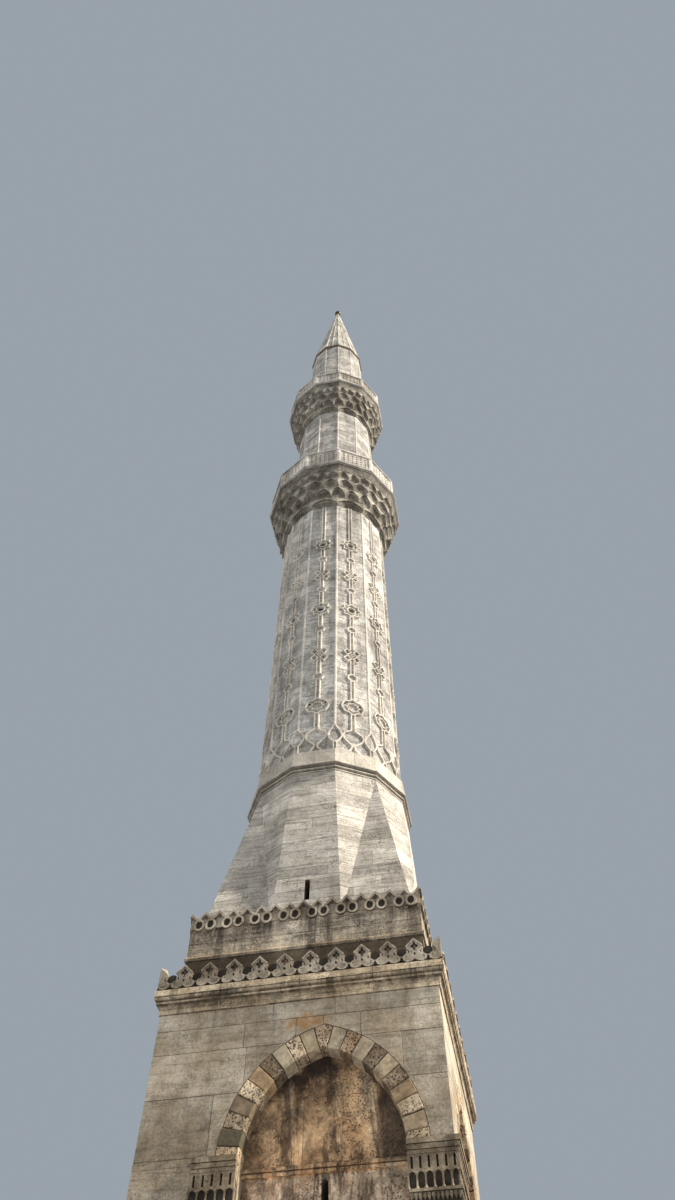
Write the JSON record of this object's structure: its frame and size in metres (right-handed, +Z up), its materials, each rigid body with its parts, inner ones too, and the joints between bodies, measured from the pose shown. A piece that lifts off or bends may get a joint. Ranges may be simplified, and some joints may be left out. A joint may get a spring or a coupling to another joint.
{
  "type": "stone minaret, 1:2 scale model",
  "caption": "Tall stone minaret on a square base with blind arches, folded transition, faceted carved shaft, balconies on stepped corbels, leaded cone and ball.",
  "frame": {"origin": "centre of the plinth's underside, at ground level", "axes": "+Z up along the tower's axis, -Y out of the front with the slit windows, +X to the right seen from the front"},
  "size_m": [2.216, 2.216, 27.281],
  "materials": {
    "marble": "weathered smooth ashlar",
    "voussoir": "alternating porous and smooth blocks",
    "carving": "weathered carved stone with dark crust",
    "ashlar": "weathered ashlar",
    "shaft": "pale weathered ashlar with carved relief",
    "corbel": "soot-darkened carved stone",
    "parapet": "weathered pierced slabs",
    "lead": "dull grey lead sheet",
    "ball": "darkened gilt metal"
  },
  "bodies": {
    "root": {"arch_back": "voussoir", "arch_front": "voussoir", "arch_right": "voussoir", "ball": "ball", "base_cornice": "marble", "base_wall_back": "marble", "base_wall_front": "marble", "base_wall_left_back": "marble", "base_wall_left_front": "marble", "base_wall_over_door": "marble", "base_wall_right": "marble", "capital_back_left": "carving", "capital_back_right": "carving", "capital_front_left": "carving", "capital_front_right": "carving", "cone": "lead", "crest_back": "carving", "crest_front": "carving", "crest_left": "carving", "crest_right": "carving", "drum": "shaft", "eaves": "marble", "frieze_back": "carving", "frieze_front": "carving", "frieze_left": "carving", "frieze_right": "carving", "lower_balcony_floor": "marble", "lower_corbel": "corbel", "lower_parapet_back": "parapet", "lower_parapet_front": "parapet", "lower_parapet_left": "parapet", "lower_parapet_right": "parapet", "lower_shaft": "shaft", "plinth": "marble", "shaft_ring": "ashlar", "shoe": "ashlar", "upper_balcony_floor": "marble", "upper_base": "ashlar", "upper_corbel": "corbel", "upper_parapet_back": "parapet", "upper_parapet_front": "parapet", "upper_parapet_left": "parapet", "upper_parapet_right": "parapet", "upper_shaft": "shaft"}
  },
  "joints": []
}
